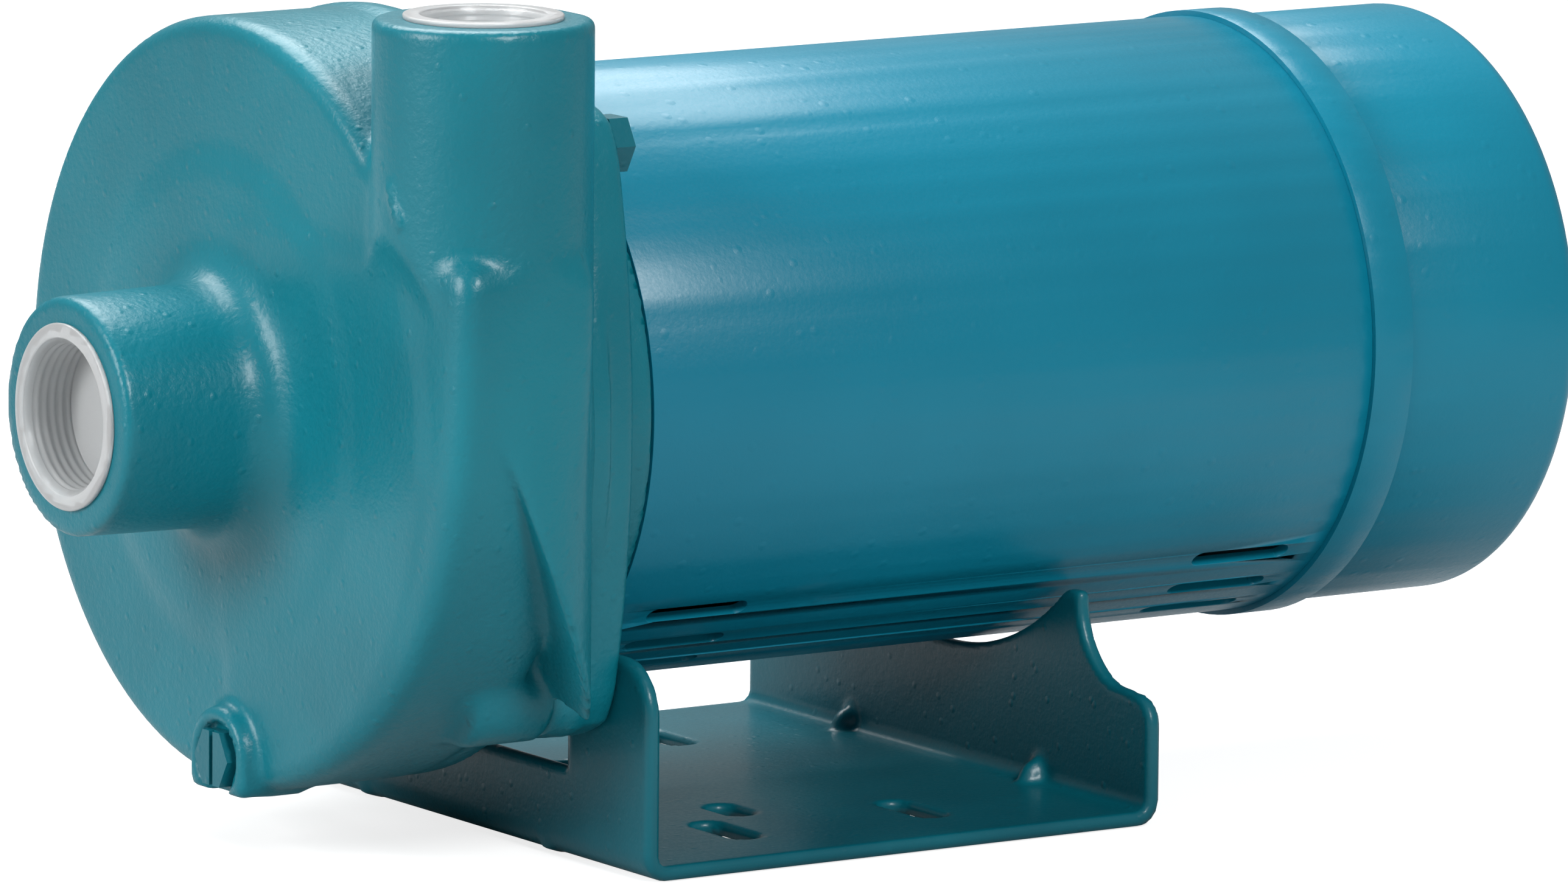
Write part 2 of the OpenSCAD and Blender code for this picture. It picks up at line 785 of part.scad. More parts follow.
// one cut through the shell with round ends, at an angle below the discharge side
module vent_cut(x, angle) {
  straight = vent_len - vent_w;
  translate([x, 0, shaft_z]) rotate([angle, 0, 0]) {
    for (s = [-1, 1]) {
      translate([s * straight / 2, -shell_r - 3, 0]) rotate([-90, 0, 0])
        cylinder(h = shell_t + 6, d = vent_w, $fn = 32);
    }
    translate([-straight / 2, -shell_r - 3, -vent_w / 2]) cube([straight, shell_t + 6, vent_w]);
  }
}

module motor_shell() {
  color(enamel) difference() {
    ring(x_shell, x_band, shell_r, shell_r - shell_t);
    for (x = [x_shell + vent_inset + 1, x_band - vent_inset + 0.6]) {
      for (i = [0 : 2]) {
        both_sides() vent_cut(x, 43.7 + i * vent_step);
      }
    }
  }
}

// ---------- rear bell and what it carries ----------

module rear_bell() {
  color(enamel) difference() {
    union() {
      ring(x_band, x_cover, band_r, band_r - 6);
      ring(x_band - 7, x_band + cut, shell_r - shell_t - seat_gap, shell_r - shell_t - 5);
      ring(x_cover - cut, x_cover + 6, cover_r - cover_t - seat_gap, cover_r - cover_t - 3.5);
      disc(x_cover - 6, x_cover, band_r - 2);
      disc(x_rear_bearing - 3, x_cover + 3.4, bearing_r + 6);
      for (s = [-1, 1]) {
        peg(x_cover - cut, x_end - cover_t - 0.05, s * pillar_y, pillar_z, pillar_r);
        peg(x_cover - cut, x_switch, s * post_y, post_z, 3.5);
      }
      peg(x_cover - cut, x_board, 0, 50, 4);
    }
    disc(x_rear_bearing - 4, x_rear_bearing + bearing_w + 1, bearing_r + seat_gap);
    disc(x_rear_bearing, x_cover + 5, tail_r + 3);
    for (a = [22.5 : 45 : 337.5]) {
      at_x(x_cover - 8) rotate([0, 0, a]) translate([56, 0, 0]) cylinder(h = 10, r = 8);
    }
    for (a = [0 : 90 : 270]) {
      peg(x_band - 8, x_cover + cut, through_circle_r * cos(a),
        through_circle_r * sin(a), through_r + seat_gap, 32);
      peg(x_cover, x_cover + 7, 0.99 * through_circle_r * cos(a),
        0.99 * through_circle_r * sin(a), 4.4, 32);
    }
    for (s = [-1, 1]) {
      peg(x_end - 14, x_end, s * pillar_y, pillar_z, screw_r + seat_gap, 32);
    }
    peg(x_cover - 3, x_cover + cut, 30, -30, 2 + seat_gap, 32);
    peg(x_cover - 3, x_cover + cut, -30, -30, 2 + seat_gap, 32);
  }
}

// deep drawn cover with a rounded end edge
module rear_cover() {
  inner_edge = cover_edge - cover_t;
  color(enamel) difference() {
    at_x(x_cover) rotate_extrude() union() {
      square([cover_r, cover_len - cover_edge]);
      square([cover_r - cover_edge, cover_len]);
      translate([cover_r - cover_edge, cover_len - cover_edge]) circle(r = cover_edge);
    }
    at_x(x_cover - cut) rotate_extrude() union() {
      square([cover_r - cover_t, cover_len - cover_edge + cut]);
      square([cover_r - cover_edge, cover_len - cover_t + cut]);
      translate([cover_r - cover_edge, cover_len - cover_edge + cut]) circle(r = inner_edge);
    }
    for (s = [-1, 1]) {
      peg(x_end - 3, x_end + cut, s * pillar_y, pillar_z, screw_r + 0.3, 32);
    }
    translate([conduit_x, 0, shaft_z]) rotate([-90, 0, 0]) cylinder(h = cover_r + 5, r = conduit_r + 3.05);
  }
}

module rear_cover_screws() {
  color(steel) for (s = [-1, 1]) {
    difference() {
      union() {
        peg(x_end - 12, x_end + 0.5, s * pillar_y, pillar_z, screw_r, 32);
        peg(x_end, x_end + 2.6, s * pillar_y, pillar_z, 4.6);
      }
      at_x(x_end + 1.4) translate([s * pillar_y - 5, pillar_z - 0.6, 0]) cube([10, 1.2, 3]);
    }
  }
}

module through_bolts() {
  color(steel) for (a = [0 : 90 : 270]) {
    y = through_circle_r * cos(a);
    z = through_circle_r * sin(a);
    peg(x_plate_back - 7, x_cover + 1, y, z, through_r, 32);
    peg(x_cover, x_cover + 3, y * 0.99, z * 0.99, 3.6, 6);
  }
}

module governor_plate() {
  color(steel) difference() {
    union() {
      disc(x_governor, x_governor + 1.5, 17);
      disc(x_governor, x_governor + 4, tail_r + 3);
      for (a = [0, 180]) {
        at_x(x_governor + 1) rotate([0, 0, a]) translate([11, -6, 0]) cube([5, 12, 3]);
      }
    }
    disc(x_governor - cut, x_governor + 5, tail_r + seat_gap);
  }
}

module governor_sleeve() {
  color([0.85, 0.83, 0.75]) difference() {
    union() {
      disc(x_sleeve - 2, x_sleeve + 4, tail_r + 2);
      disc(x_sleeve + 2, x_sleeve + 4, 13);
    }
    disc(x_sleeve - 3, x_sleeve + 5, tail_r + run_gap);
  }
}

// insulating plate that holds the start switch's contacts
module switch_plate() {
  color([0.35, 0.2, 0.1]) difference() {
    translate([x_switch + seat_gap, -34, shaft_z - 12]) cube([2.2, 68, 44]);
    disc(x_switch - cut, x_switch + 4, tail_r + 4);
  }
}

module switch_leaf() {
  color("peru") translate([x_switch - 1.2, 12, shaft_z - 9]) difference() {
    union() {
      cube([0.6, 8, 24]);
      translate([0, 0, 20]) cube([1.2, 8, 4]);
    }
  }
}

module terminal_board() {
  color([0.1, 0.1, 0.1]) difference() {
    translate([x_board + seat_gap, -22, shaft_z + 42]) cube([3, 44, 22]);
    for (y = [-15, -7.5, 7.5, 15]) {
      peg(x_board - 1, x_board + 5, y, 53, 1.8, 32);
    }
  }
}

module terminal_studs() {
  color("goldenrod") for (y = [-15, -7.5, 7.5, 15]) {
    peg(x_board - 2, x_board + 9, y, 53, 1.75, 32);
    peg(x_board + 3 + seat_gap, x_board + 5, y, 53, 3.2, 6);
  }
}

module start_capacitor() {
  color([0.1, 0.1, 0.11]) translate([x_capacitor, -capacitor_len / 2, shaft_z + capacitor_z]) rotate([-90, 0, 0]) {
    cylinder(h = capacitor_len, r = capacitor_r);
    for (x = [-6, 6]) translate([x, 0, -4]) cylinder(h = 5, r = 2.4);
  }
}

// strap around the capacitor, with a foot on the rear bell
module capacitor_clip() {
  strap_r = capacitor_r + 1;
  color(steel) {
    translate([x_capacitor, -7, shaft_z + capacitor_z]) rotate([-90, 0, 0]) difference() {
      cylinder(h = 14, r = strap_r);
      translate([0, 0, -cut]) cylinder(h = 16, r = capacitor_r + seat_gap);
    }
    translate([x_cover + 0.1, -7, shaft_z + capacitor_z - 8]) cube([x_capacitor - strap_r - x_cover + 0.3, 14, 16]);
  }
}

module ground_screw() {
  color([0.1, 0.5, 0.2]) {
    peg(x_cover - 2.5, x_cover + 0.5, 30, -30, 2, 32);
    peg(x_cover + 0.1, x_cover + 3, 30, -30, 4.2, 6);
  }
}

// threaded entry for the motor's conduit, on the side away from the discharge
module conduit_bushing() {
  color(steel) translate([conduit_x, cover_r - 5, shaft_z]) rotate([-90, 0, 0]) difference() {
    union() {
      cylinder(h = conduit_len, r = conduit_r + 3);
      translate([0, 0, 5.2]) cylinder(h = conduit_len - 5.2, r = conduit_r + 5.4, $fn = 8);
    }
    translate([0, 0, -cut]) cylinder(h = conduit_len + 2 * cut, r = conduit_r);
  }
}

// ---------- base ----------

// cross-section of the bent sheet: X right, height up
module channel_section() {
  flange_top = shaft_z;
  difference() {
    union() {
      translate([-base_len / 2, bend_out]) square([base_len, flange_top]);
      translate([-base_len / 2 + bend_out, 0]) square([base_len - 2 * bend_out, flange_top]);
      for (s = [-1, 1]) {
        translate([s * (base_len / 2 - bend_out), bend_out]) circle(r = bend_out);
      }
    }
    translate([-base_len / 2 + base_t, bend_out]) square([base_len - 2 * base_t, 2 * flange_top]);
    translate([-base_len / 2 + bend_out, base_t]) square([base_len - 2 * bend_out, 2 * flange_top]);
    for (s = [-1, 1]) {
      translate([s * (base_len / 2 - bend_out), bend_out]) circle(r = bend_r);
    }
  }
}

// a box of the sheet's width with rounded top corners, in the shaft's plane
module shoulder_block(x0, x1, width, top, corner) {
  length = x1 - x0;
  translate([x0, -width / 2, -cut]) cube([length, width, top - corner + cut]);
  translate([x0, -width / 2 + corner, 0]) cube([length, width - 2 * corner, top]);
  for (s = [-1, 1]) {
    translate([x0, s * (width / 2 - corner), top - corner]) rotate([0, 90, 0])
      cylinder(h = length, r = corner);
  }
}

// what stays of the rear flange: shoulders, and horns that reach up to the shell
module rear_outline() {
  half = base_len / 2 + cut;
  difference() {
    union() {
      shoulder_block(0, half, base_w, shoulder_z, 8);
      translate([0, -horn_cut_y, shoulder_z - 9]) cube([half, 2 * horn_cut_y, shaft_z + horn_z - shoulder_z + 9]);
    }
    disc(-cut, half + cut, saddle_r);
    for (s = [-1, 1]) {
      peg(-cut, half + cut, s * horn_cut_y, horn_cut_z, horn_cut_r);
      translate([-cut, s * (horn_cut_y + 5) - 5, shoulder_z]) cube([half + 3, 10, 40]);
    }
  }
}

// what stays of the front flange: two ears under the lower casing bolts
module front_outline() {
  half = base_len / 2 + cut;
  ear_in = 58;
  difference() {
    shoulder_block(-half, 0, base_w, ear_z, 15);
    disc(-half - cut, cut, saddle_r);
    translate([-half - cut, -ear_in, dip_z]) cube([half + 2 * cut, 2 * ear_in, shaft_z]);
  }
}

// small dent pressed across a bend to stiffen it
module dart(side, y) {
  reach = bend_r + 7;
  translate([side * (base_len / 2 - base_t), y, base_t]) rotate([0, side * 45, 0])
    intersection() {
      sphere(r = reach * 0.72);
      translate([-reach, -3, -reach]) cube([2 * reach, 6, 2 * reach]);
    }
}

module base() {
  color(enamel) difference() {
    union() {
      intersection() {
        translate([0, base_w / 2, 0]) rotate([90, 0, 0]) linear_extrude(base_w) channel_section();
        union() {
          rear_outline();
          front_outline();
        }
      }
      intersection() {
        for (side = [-1, 1]) {
          for (y = [-46, 46]) dart(side, y);
        }
        translate([-base_len / 2 + 1, -60, 1]) cube([base_len - 2, 120, 30]);
      }
    }
    for (s = [-1, 1]) {
      slot(slot_front_x, s * slot_pitch / 2, slot_len, slot_w);
      slot(slot_rear_x, s * slot_pitch / 2, slot_len, slot_w);
      slot(inner_slot_x, s * inner_slot_pitch / 2, inner_slot_len, slot_w);
    }
    for (a = [225, 315]) {
      peg(x_plate_back - cut, x_plate_back + base_t + cut, bolt_circle_r * cos(a),
        bolt_circle_r * sin(a), bolt_r + bolt_gap);
    }
  }
}

volute_casing();
casing_o_ring();
front_bracket();
casing_bolts();
drain_plug();
suction_cap();
discharge_cap();
impeller();
seal_seat();
seal_seat_gasket();
seal_carbon();
seal_bellows();
seal_spring();
water_slinger();
shaft();
front_bearing_outer();
front_bearing_inner();
front_bearing_balls();
front_bearing_cage();
rear_bearing_outer();
rear_bearing_inner();
rear_bearing_balls();
rear_bearing_cage();
wave_washer();
rotor_core();
rotor_end_rings();
cooling_fan();
stator_core();
stator_windings();
motor_shell();
rear_bell();
rear_cover();
rear_cover_screws();
through_bolts();
governor_plate();
governor_sleeve();
switch_plate();
switch_leaf();
terminal_board();
terminal_studs();
start_capacitor();
capacitor_clip();
ground_screw();
conduit_bushing();
base();
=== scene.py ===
# Looks of a close-coupled water pump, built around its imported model.
import json
import math
import bmesh
import bpy
import numpy as np
from mathutils import Matrix, Vector


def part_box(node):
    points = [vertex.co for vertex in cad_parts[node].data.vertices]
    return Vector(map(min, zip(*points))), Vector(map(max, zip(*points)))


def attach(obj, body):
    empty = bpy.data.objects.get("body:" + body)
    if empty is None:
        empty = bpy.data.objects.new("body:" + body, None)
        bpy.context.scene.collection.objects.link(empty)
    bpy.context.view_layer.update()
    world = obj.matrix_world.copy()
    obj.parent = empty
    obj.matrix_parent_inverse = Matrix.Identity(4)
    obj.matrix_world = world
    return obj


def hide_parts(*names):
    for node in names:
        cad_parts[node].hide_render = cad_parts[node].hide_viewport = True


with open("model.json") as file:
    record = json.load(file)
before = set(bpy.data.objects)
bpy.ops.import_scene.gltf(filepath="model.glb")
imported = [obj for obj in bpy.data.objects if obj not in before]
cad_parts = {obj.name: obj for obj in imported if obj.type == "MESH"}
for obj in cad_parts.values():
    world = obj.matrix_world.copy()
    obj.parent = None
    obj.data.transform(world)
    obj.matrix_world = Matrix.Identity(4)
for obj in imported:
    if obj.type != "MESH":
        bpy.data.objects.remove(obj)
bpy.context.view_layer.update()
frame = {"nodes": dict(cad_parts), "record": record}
print("frame loaded:", len(frame["nodes"]), "nodes")

mm = 0.001  # shapes below are worked out in millimetres, with z measured from the shaft

# ---------- camera ----------

view = {
    "place": (-1.9645, -3.0152, 0.6786),
    "yaw": 33.412,  # degrees from +Y towards +X
    "pitch": -9.171,
    "roll": 0.506,
    "lens": 309.2,
}


def addCamera():
    # forward from yaw and pitch; the picture's right and up are turned about it by the roll
    yaw, pitch, roll = (math.radians(view[k]) for k in ("yaw", "pitch", "roll"))
    forward = np.array([math.sin(yaw) * math.cos(pitch), math.cos(yaw) * math.cos(pitch), math.sin(pitch)])
    level = np.array([math.cos(yaw), -math.sin(yaw), 0])
    up = np.cross(level, forward)
    right = level * math.cos(roll) + up * math.sin(roll)
    up = up * math.cos(roll) - level * math.sin(roll)
    camera = bpy.data.objects.new("camera", bpy.data.cameras.new("camera"))
    bpy.context.scene.collection.objects.link(camera)
    columns = np.array([right, up, -forward]).T
    camera.matrix_world = Matrix.Translation(view["place"]) @ Matrix(columns.tolist()).to_4x4()
    camera.data.lens = view["lens"]
    camera.data.sensor_width = 36
    camera.data.clip_end = 50
    bpy.context.scene.camera = camera


addCamera()

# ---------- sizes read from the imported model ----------


def span(node):
    low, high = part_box(node)
    return [v / mm for v in low], [v / mm for v in high]


shellLow, shellHigh = span("motor_shell")
baseLow, baseHigh = span("base")
casingLow, casingHigh = span("volute_casing")
bracketLow, bracketHigh = span("front_bracket")
dischargeLow, dischargeHigh = span("discharge_cap")
shaftZ = (shellLow[2] + shellHigh[2]) / 2
shellR = (shellHigh[2] - shellLow[2]) / 2
plateBack = baseLow[0]
suctionX = casingLow[0]
pipeX = (dischargeLow[0] + dischargeHigh[0]) / 2
pipeY = (dischargeLow[1] + dischargeHigh[1]) / 2
pipeTop = casingHigh[2] - shaftZ

# ---------- meshes ----------


def addPiece(name, points, faces, body, material):
    # points in metres, faces as an array of corner numbers
    mesh = bpy.data.meshes.new(name)
    count = len(faces)
    corners = faces.shape[1]
    mesh.vertices.add(len(points))
    mesh.vertices.foreach_set("co", np.asarray(points, dtype=np.float32).ravel())
    mesh.loops.add(count * corners)
    mesh.loops.foreach_set("vertex_index", faces.astype(np.int32).ravel())
    mesh.polygons.add(count)
    mesh.polygons.foreach_set("loop_start", np.arange(0, count * corners, corners, dtype=np.int32))
    mesh.polygons.foreach_set("use_smooth", np.ones(count, dtype=bool))
    mesh.update(calc_edges=True)
    mesh.validate()
    piece = bpy.data.objects.new(name, mesh)
    bpy.context.scene.collection.objects.link(piece)
    mesh.materials.append(material)
    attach(piece, body)
    return piece


def smoothUnion(a, b, k):
    # the lower of two distances, with a blend of width k where they are nearly equal
    h = np.clip(0.5 + 0.5 * (b - a) / k, 0, 1)
    return b + (a - b) * h - k * h * (1 - h)


def smoothMeet(a, b, k):
    return -smoothUnion(-a, -b, k)


def smoothCut(a, b, k):
    return -smoothUnion(-a, b, k)


def roundedDisc(x, r, x0, x1, radius, edge):
    # distance to a disc from x0 to x1 whose rims are rounded by edge
    dr = r - (radius - edge)
    dx = np.abs(x - (x0 + x1) / 2) - ((x1 - x0) / 2 - edge)
    outside = np.hypot(np.maximum(dr, 0), np.maximum(dx, 0))
    return outside + np.minimum(np.maximum(dr, dx), 0) - edge


def fieldSlope(field, p, h=0.04):
    slope = np.empty_like(p)
    for axis in range(3):
        step = np.zeros(3)
        step[axis] = h
        slope[:, axis] = (field(*(p + step).T) - field(*(p - step).T)) / (2 * h)
    return slope


def fieldSurface(field, low, high, step):
    # surface nets: one point in each cell that the zero surface crosses, at the mean of the
    # cell's edge crossings, one face around each crossed edge, then points slid onto the surface
    low = np.array(low, dtype=float)
    counts = np.ceil((np.array(high) - low) / step).astype(int) + 1
    axes = [low[i] + step * np.arange(counts[i]) for i in range(3)]
    values = field(*np.meshgrid(*axes, indexing="ij"))
    inside = values < 0
    corners = np.array([[i, j, k] for i in (0, 1) for j in (0, 1) for k in (0, 1)])
    cells = tuple(counts - 1)
    total = np.zeros(cells, dtype=np.int8)
    for c in corners:
        total += inside[c[0]:c[0] + cells[0], c[1]:c[1] + cells[1], c[2]:c[2] + cells[2]]
    index = np.argwhere((total > 0) & (total < 8))
    numbers = np.full(cells, -1, dtype=np.int64)
    numbers[tuple(index.T)] = np.arange(len(index))
    corner = [values[tuple((index + c).T)] for c in corners]
    where = np.zeros((len(index), 3))
    hits = np.zeros(len(index))
    for i in range(8):
        for j in range(i + 1, 8):
            if np.abs(corners[i] - corners[j]).sum() != 1:
                continue
            crossed = (corner[i] < 0) != (corner[j] < 0)
            t = np.where(crossed, corner[i] / np.where(crossed, corner[i] - corner[j], 1), 0)
            where += crossed[:, None] * (corners[i] + t[:, None] * (corners[j] - corners[i]))
            hits += crossed
    points = low + step * (index + where / hits[:, None])
    faces = []
    for axis in range(3):
        side, top = (axis + 1) % 3, (axis + 2) % 3
        near = inside.take(range(counts[axis] - 1), axis)
        far = inside.take(range(1, counts[axis]), axis)
        edge = np.argwhere(near != far)
        ok = np.ones(len(edge), dtype=bool)
        for other in (side, top):
            ok &= (edge[:, other] > 0) & (edge[:, other] < counts[other] - 1)
        edge = edge[ok]
        around = []
        for a, b in ((1, 1), (0, 1), (0, 0), (1, 0)):
            cell = edge.copy()
            cell[:, side] -= a
            cell[:, top] -= b
            around.append(numbers[tuple(cell.T)])
        quad = np.stack(around, 1)
        outward = near[tuple(edge.T)]
        faces.append(np.where(outward[:, None], quad, quad[:, ::-1]))
    faces = np.concatenate(faces)
    for _ in range(4):
        slope = fieldSlope(field, points)
        size = np.maximum((slope ** 2).sum(1), 0.05)
        move = -(field(*points.T) / size)[:, None] * slope
        reach = np.linalg.norm(move, axis=1, keepdims=True)
        points += move * np.minimum(1, 0.5 * step / np.maximum(reach, 1e-9))
    return points, faces


def standOnShaft(points):
    return (points + [0, 0, shaftZ]) * mm


def revolved(profile, sides):
    # a closed profile of (along, radius) pairs carried round the axis, as (along, across, up)
    turn = np.arange(sides) * 2 * np.pi / sides
    profile = np.asarray(profile, dtype=float)
    along = np.repeat(profile[:, 0][:, None], sides, 1)
    across = profile[:, 1][:, None] * np.cos(turn)
    up = profile[:, 1][:, None] * np.sin(turn)
    points = np.stack([along, across, up], 2).reshape(-1, 3)
    n = len(profile)
    i, j = np.meshgrid(np.arange(n), np.arange(sides), indexing="ij")
    nextI, nextJ = (i + 1) % n, (j + 1) % sides
    faces = np.stack([i * sides + j, nextI * sides + j, nextI * sides + nextJ, i * sides + nextJ], 2)
    return points, faces.reshape(-1, 4)


# ---------- materials ----------


def newMaterial(name):
    material = bpy.data.materials.new(name)
    material.use_nodes = True
    nodes = material.node_tree.nodes
    return material, nodes, material.node_tree.links, nodes["Principled BSDF"]


def noiseNode(nodes, links, place, scale, detail=2.0, roughness=0.5):
    noise = nodes.new("ShaderNodeTexNoise")
    noise.inputs["Scale"].default_value = scale
    noise.inputs["Detail"].default_value = detail
    noise.inputs["Roughness"].default_value = roughness
    links.new(place, noise.inputs["Vector"])
    return noise


def rangeNode(nodes, links, value, low, high, toLow, toHigh):
    remap = nodes.new("ShaderNodeMapRange")
    remap.inputs["From Min"].default_value = low
    remap.inputs["From Max"].default_value = high
    remap.inputs["To Min"].default_value = toLow
    remap.inputs["To Max"].default_value = toHigh
    links.new(value, remap.inputs["Value"])
    return remap


def enamelPaint(name, look):
    # sprayed enamel: orange peel over the metal's own grain, with a few dust nibs under the film
    material, nodes, links, shader = newMaterial(name)
    place = nodes.new("ShaderNodeTexCoord").outputs["Object"]
    drift = noiseNode(nodes, links, place, look["driftScale"], 3)
    tone = nodes.new("ShaderNodeMix")
    tone.data_type = "RGBA"
    tone.inputs[6].default_value = (*look["dark"], 1)
    tone.inputs[7].default_value = (*look["light"], 1)
    spread = rangeNode(nodes, links, drift.outputs["Fac"], 0.35, 0.65, 0, 1)
    links.new(spread.outputs["Result"], tone.inputs[0])
    links.new(tone.outputs[2], shader.inputs["Base Color"])
    peel = noiseNode(nodes, links, place, look["peelScale"], 2)
    grain = noiseNode(nodes, links, place, look["grainScale"], 4, 0.6)
    nibs = nodes.new("ShaderNodeTexVoronoi")
    nibs.inputs["Scale"].default_value = look["nibScale"]
    links.new(place, nibs.inputs["Vector"])
    nib = rangeNode(nodes, links, nibs.outputs["Distance"], 0.05, 0.2, 1, 0)
    smoothest, roughest = look["rough"] - 0.05, look["rough"] + 0.06
    gloss = rangeNode(nodes, links, grain.outputs["Fac"], 0.3, 0.7, smoothest, roughest)
    links.new(gloss.outputs["Result"], shader.inputs["Roughness"])
    last = None
    for height, depth in ((peel.outputs["Fac"], look["peel"]), (grain.outputs["Fac"], look["grain"]),
                          (nib.outputs["Result"], look["nib"])):
        bump = nodes.new("ShaderNodeBump")
        bump.inputs["Strength"].default_value = 1
        bump.inputs["Distance"].default_value = depth
        links.new(height, bump.inputs["Height"])
        if last:
            links.new(last.outputs["Normal"], bump.inputs["Normal"])
        last = bump
    links.new(last.outputs["Normal"], shader.inputs["Normal"])
    shader.inputs["IOR"].default_value = 1.37
    shader.inputs["Coat Weight"].default_value = look["coat"]
    shader.inputs["Coat Roughness"].default_value = 0.18
    return material


enamel = {
    "casting": {"dark": (0.001, 0.135, 0.178), "light": (0.002, 0.168, 0.218), "driftScale": 14,
                "peelScale": 420, "grainScale": 950, "nibScale": 160, "peel": 0.00022,
                "grain": 0.00012, "nib": 0.00018, "rough": 0.36, "coat": 0.15},
    "shell": {"dark": (0.001, 0.172, 0.262), "light": (0.002, 0.195, 0.295), "driftScale": 9,
              "peelScale": 520, "grainScale": 1300, "nibScale": 130, "peel": 0.00006,
              "grain": 0.00003, "nib": 0.00009, "rough": 0.34, "coat": 0.15},
    "sheet": {"dark": (0.001, 0.100, 0.135), "light": (0.002, 0.128, 0.168), "driftScale": 18,
              "peelScale": 480, "grainScale": 1100, "nibScale": 170, "peel": 0.00009,
              "grain": 0.00005, "nib": 0.00012, "rough": 0.34, "coat": 0.15},
}


def plainMaterial(name, look):
    # a finish with slight tone drift and fine texture, for metal, rubber, moulded and pressed parts
    material, nodes, links, shader = newMaterial(name)
    place = nodes.new("ShaderNodeTexCoord").outputs["Object"]
    drift = noiseNode(nodes, links, place, look.get("scale", 60), 3)
    tone = nodes.new("ShaderNodeMix")
    tone.data_type = "RGBA"
    colour = np.array(look["colour"])
    tone.inputs[6].default_value = (*(colour * 0.85), 1)
    tone.inputs[7].default_value = (*np.minimum(colour * 1.1, 1), 1)
    links.new(drift.outputs["Fac"], tone.inputs[0])
    links.new(tone.outputs[2], shader.inputs["Base Color"])
    fine = noiseNode(nodes, links, place, look.get("fineScale", 900), 3)
    gloss = rangeNode(nodes, links, fine.outputs["Fac"], 0.3, 0.7, look["rough"] * 0.85, look["rough"] * 1.15)
    links.new(gloss.outputs["Result"], shader.inputs["Roughness"])
    bump = nodes.new("ShaderNodeBump")
    bump.inputs["Distance"].default_value = look.get("bump", 0.00003)
    links.new(fine.outputs["Fac"], bump.inputs["Height"])
    links.new(bump.outputs["Normal"], shader.inputs["Normal"])
    shader.inputs["Metallic"].default_value = look.get("metal", 0)
    return material


innerFinish = {
    "nitrile": {"colour": (0.02, 0.02, 0.021), "rough": 0.6},
    "bronze": {"colour": (0.50, 0.33, 0.13), "rough": 0.42, "metal": 1, "bump": 0.0001},
    "ceramic": {"colour": (0.80, 0.78, 0.72), "rough": 0.2},
    "carbon": {"colour": (0.03, 0.03, 0.032), "rough": 0.35},
    "steel": {"colour": (0.55, 0.56, 0.58), "rough": 0.3, "metal": 1},
    "lamination": {"colour": (0.22, 0.22, 0.24), "rough": 0.5, "metal": 1, "bump": 0.0001},
    "aluminium": {"colour": (0.65, 0.66, 0.68), "rough": 0.42, "metal": 1, "bump": 0.00008},
    "copper": {"colour": (0.48, 0.18, 0.07), "rough": 0.32, "metal": 1, "bump": 0.0003, "fineScale": 500},
    "black_plastic": {"colour": (0.02, 0.02, 0.021), "rough": 0.4},
    "phenolic": {"colour": (0.17, 0.08, 0.03), "rough": 0.5},
    "natural_nylon": {"colour": (0.72, 0.70, 0.62), "rough": 0.4},
    "brass_fitting": {"colour": (0.66, 0.48, 0.18), "rough": 0.28, "metal": 1},
    "green_steel": {"colour": (0.02, 0.25, 0.06), "rough": 0.35},
}


def plugPlastic():
    # milky polyethylene that lets light through its thin wall
    material, nodes, links, shader = newMaterial("plugPlastic")
    place = nodes.new("ShaderNodeTexCoord").outputs["Object"]
    fine = noiseNode(nodes, links, place, 700, 2)
    bump = nodes.new("ShaderNodeBump")
    bump.inputs["Distance"].default_value = 0.00003
    links.new(fine.outputs["Fac"], bump.inputs["Height"])
    links.new(bump.outputs["Normal"], shader.inputs["Normal"])
    gloss = rangeNode(nodes, links, fine.outputs["Fac"], 0.3, 0.7, 0.28, 0.36)
    links.new(gloss.outputs["Result"], shader.inputs["Roughness"])
    shader.inputs["Base Color"].default_value = (0.86, 0.88, 0.89, 1)
    shader.inputs["Transmission Weight"].default_value = 0.6
    shader.inputs["IOR"].default_value = 1.45
    shader.inputs["Subsurface Weight"].default_value = 0.3
    shader.inputs["Subsurface Radius"].default_value = (0.004, 0.004, 0.004)
    shader.inputs["Subsurface Scale"].default_value = 0.5
    return material


paint = {kind: enamelPaint(kind + "Enamel", look) for kind, look in enamel.items()}
finish = {slot: plainMaterial(slot, look) for slot, look in innerFinish.items()}
finish.update({"casing_enamel": paint["casting"], "shell_enamel": paint["shell"],
               "bell_enamel": paint["shell"], "cover_enamel": paint["shell"],
               "base_enamel": paint["sheet"], "bolt_enamel": paint["sheet"]})
clearPlug = plugPlastic()
print("materials ready")

# ---------- volute casing ----------

casing = {
    "frontR": 102.3, "length": 51.1, "edge": 4.6, "swell": 13.9, "flange": 8, "sideSwell": 3.0,
    "bossR": 31.65, "bossFillet": 13, "domeR": 66, "domeRise": 1.8,
    "pipeR": 28.9, "ridgeTop": 58, "undersideSlope": 2.3, "pipeFillet": 2.5,
    "wall": 7.1, "boltCircle": 103, "lugR": 11, "lugLength": 24,
    "padY": -6, "padZ": -94, "padR": 13.7, "padRise": 6, "recessR": 9.7,
    "suctionBore": 20.99, "dischargeBore": 16.61, "boreDepth": 25, "step": 1.75,
    "coreR": 23, "throatR": 17.6, "pipeThroatR": 13.4, "drainR": 6.7, "backR": 88, "boltR": 4.8,
}


